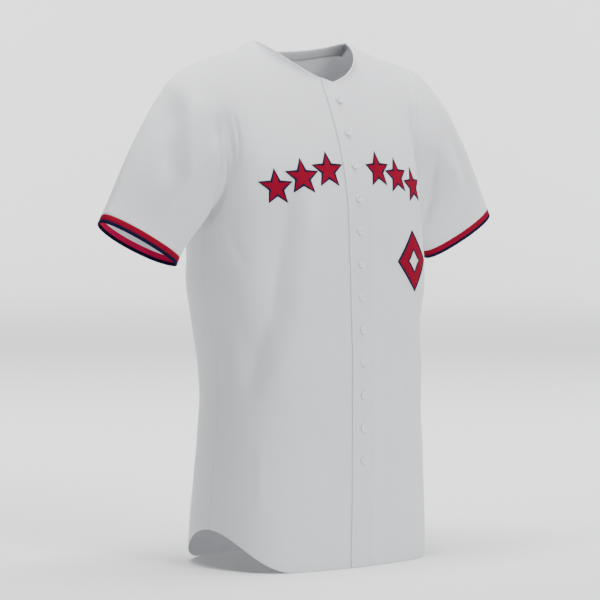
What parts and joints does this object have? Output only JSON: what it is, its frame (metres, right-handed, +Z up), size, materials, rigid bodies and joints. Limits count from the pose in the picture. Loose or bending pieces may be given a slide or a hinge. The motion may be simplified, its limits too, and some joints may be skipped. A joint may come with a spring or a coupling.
{
  "type": "baseball jersey",
  "caption": "Short-sleeved baseball jersey with a V neck, a buttoned front and striped cuffs, hollow and in the form it is worn in.",
  "frame": {"origin": "midway between the high points of the two shoulders, where the neckline meets the shoulder seams", "axes": "+X to the wearer's left, +Y to the wearer's back, +Z up"},
  "size_m": [0.717, 0.2619, 0.74],
  "materials": {
    "cloth": "pale cool grey double-knit polyester with a soft sheen",
    "cuff_band": "crimson knit tape",
    "cuff_edge": "navy knit binding",
    "button": "white polished resin"
  },
  "bodies": {
    "root": {"front_right": "cloth", "front_left": "cloth", "back": "cloth", "sleeve_right": "cloth", "sleeve_left": "cloth", "band_right": "cuff_band", "band_left": "cuff_band", "edge_right": "cuff_edge", "edge_left": "cuff_edge", "neck_facing": "cloth", "button_01": "button", "button_02": "button", "button_03": "button", "button_04": "button", "button_05": "button", "button_06": "button", "button_07": "button", "button_08": "button", "button_09": "button", "button_10": "button", "button_11": "button", "button_12": "button"}
  },
  "joints": []
}
